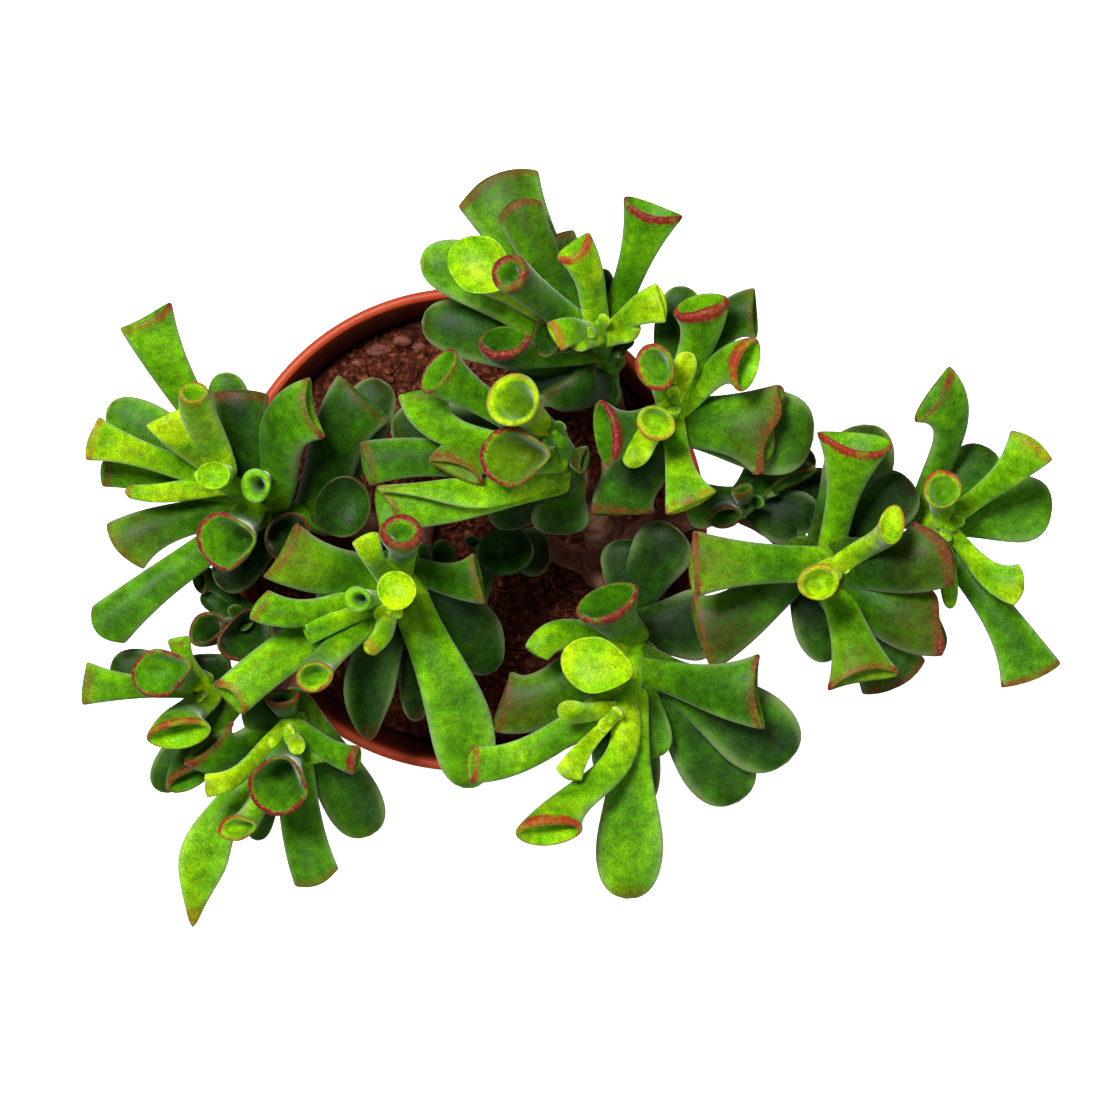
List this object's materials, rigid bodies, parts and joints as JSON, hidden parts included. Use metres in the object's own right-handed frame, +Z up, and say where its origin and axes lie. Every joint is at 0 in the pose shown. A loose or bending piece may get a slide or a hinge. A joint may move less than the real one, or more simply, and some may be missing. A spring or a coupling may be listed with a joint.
{
  "type": "potted hobbit jade",
  "caption": "Succulent with trumpet and spoon shaped leaves on forked woody stems, growing out over the rim of a round plastic nursery pot filled with peat.",
  "frame": {"origin": "middle of the pot's base, on the surface that it stands on", "axes": "+Z up along the pot's axis; seen from above, +X is to the right, along the plant's long stem, and +Y is away, towards the tallest shoot at the back"},
  "size_m": [0.2319, 0.1813, 0.2068],
  "materials": {
    "pot": "satin",
    "soil": "matte",
    "wood": "matte",
    "leaf": "satin",
    "leaf_dark": "satin"
  },
  "bodies": {
    "root": {"pot": "pot", "soil": "soil", "wood_main": "wood", "wood_second": "wood", "shoot_left": "leaf", "shoot_low_left": "leaf_dark", "shoot_mid_left": "leaf", "shoot_corner_outer": "leaf", "shoot_corner_inner": "leaf", "shoot_centre": "leaf", "shoot_low_centre": "leaf_dark", "shoot_top": "leaf", "shoot_top_right": "leaf", "shoot_branch": "leaf_dark", "shoot_right": "leaf", "shoot_far_right": "leaf", "shoot_bottom": "leaf"}
  },
  "joints": []
}
